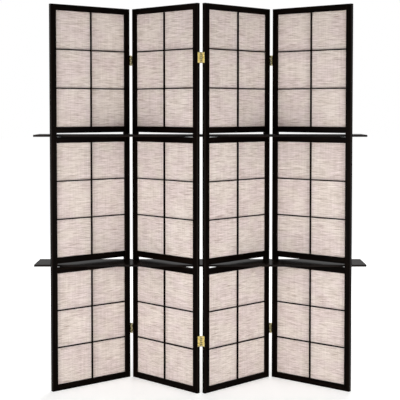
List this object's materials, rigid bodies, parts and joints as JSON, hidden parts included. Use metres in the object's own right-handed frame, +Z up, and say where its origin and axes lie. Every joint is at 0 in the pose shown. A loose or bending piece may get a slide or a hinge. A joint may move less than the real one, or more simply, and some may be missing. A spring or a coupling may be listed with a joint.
{
  "type": "folding screen with shelves",
  "caption": "Zigzag floor screen of hinged dark wood panels with latticed cloth windows, and long shelf boards that pass through slots in the panels.",
  "frame": {"origin": "centre of the bounding box at floor level", "axes": "+Z up, -Y the front seen in the picture, +X to the right along the shelves"},
  "size_m": [1.5412, 0.3088, 1.784],
  "materials": {
    "lacquered_wood": "near-black brown semi-gloss lacquer",
    "window_cloth": "slubby pinkish-beige weave",
    "hinge_brass": "satin brass, slightly aged"
  },
  "bodies": {
    "panel_1": {"panel_1_left_stile": "lacquered_wood", "panel_1_right_stile": "lacquered_wood", "panel_1_bottom_rail": "lacquered_wood", "panel_1_top_rail": "lacquered_wood", "panel_1_bottom_grille": "lacquered_wood", "panel_1_middle_grille": "lacquered_wood", "panel_1_top_grille": "lacquered_wood", "panel_1_bottom_cloth": "window_cloth", "panel_1_middle_cloth": "window_cloth", "panel_1_top_cloth": "window_cloth", "left_fold_lower_hinge_left_leaf": "hinge_brass", "left_fold_lower_hinge_pin": "hinge_brass", "left_fold_upper_hinge_left_leaf": "hinge_brass", "left_fold_upper_hinge_pin": "hinge_brass"},
    "panel_2": {"panel_2_left_stile": "lacquered_wood", "panel_2_right_stile": "lacquered_wood", "panel_2_bottom_rail": "lacquered_wood", "panel_2_top_rail": "lacquered_wood", "panel_2_bottom_grille": "lacquered_wood", "panel_2_middle_grille": "lacquered_wood", "panel_2_top_grille": "lacquered_wood", "panel_2_bottom_cloth": "window_cloth", "panel_2_middle_cloth": "window_cloth", "panel_2_top_cloth": "window_cloth", "left_fold_lower_hinge_right_leaf": "hinge_brass", "left_fold_upper_hinge_right_leaf": "hinge_brass", "middle_fold_lower_hinge_left_leaf": "hinge_brass", "middle_fold_lower_hinge_pin": "hinge_brass", "middle_fold_upper_hinge_left_leaf": "hinge_brass", "middle_fold_upper_hinge_pin": "hinge_brass"},
    "panel_3": {"panel_3_left_stile": "lacquered_wood", "panel_3_right_stile": "lacquered_wood", "panel_3_bottom_rail": "lacquered_wood", "panel_3_top_rail": "lacquered_wood", "panel_3_bottom_grille": "lacquered_wood", "panel_3_middle_grille": "lacquered_wood", "panel_3_top_grille": "lacquered_wood", "panel_3_bottom_cloth": "window_cloth", "panel_3_middle_cloth": "window_cloth", "panel_3_top_cloth": "window_cloth", "middle_fold_lower_hinge_right_leaf": "hinge_brass", "middle_fold_upper_hinge_right_leaf": "hinge_brass", "right_fold_lower_hinge_left_leaf": "hinge_brass", "right_fold_lower_hinge_pin": "hinge_brass", "right_fold_upper_hinge_left_leaf": "hinge_brass", "right_fold_upper_hinge_pin": "hinge_brass"},
    "panel_4": {"panel_4_left_stile": "lacquered_wood", "panel_4_right_stile": "lacquered_wood", "panel_4_bottom_rail": "lacquered_wood", "panel_4_top_rail": "lacquered_wood", "panel_4_bottom_grille": "lacquered_wood", "panel_4_middle_grille": "lacquered_wood", "panel_4_top_grille": "lacquered_wood", "panel_4_bottom_cloth": "window_cloth", "panel_4_middle_cloth": "window_cloth", "panel_4_top_cloth": "window_cloth", "right_fold_lower_hinge_right_leaf": "hinge_brass", "right_fold_upper_hinge_right_leaf": "hinge_brass"},
    "lower_shelf": {"lower_shelf": "lacquered_wood"},
    "upper_shelf": {"upper_shelf": "lacquered_wood"}
  },
  "joints": [
    {"name": "middle_fold", "type": "hinge", "parent": "panel_2", "child": "panel_3", "pos_m": [0.004, -0.14179, 0], "axis": [0, 0, 1], "range_deg": [-4, 91]},
    {"name": "left_fold", "type": "hinge", "parent": "panel_2", "child": "panel_1", "pos_m": [-0.33421, 0.14096, 0], "axis": [0, 0, 1], "range_deg": [-4.3, 96.2]},
    {"name": "right_fold", "type": "hinge", "parent": "panel_3", "child": "panel_4", "pos_m": [0.34221, 0.14096, 0], "axis": [0, 0, 1], "range_deg": [-96.2, 4.3]},
    {"name": "lower_shelf_turn", "type": "hinge", "parent": "panel_2", "child": "lower_shelf", "pos_m": [-0.17324, 0.00722, 0.579], "axis": [0, 0, 1], "range_deg": [-2.1, 45.6]},
    {"name": "upper_shelf_slide", "type": "slide", "parent": "lower_shelf", "child": "upper_shelf", "axis": [1, 0, 0], "range_m": [-0.1, 1.45]}
  ],
  "couplings": [
    {"joint": "left_fold", "follows": "middle_fold", "ratio": 1.0558},
    {"joint": "right_fold", "follows": "middle_fold", "ratio": -1.0558},
    {"joint": "lower_shelf_turn", "follows": "middle_fold", "ratio": 0.5}
  ]
}
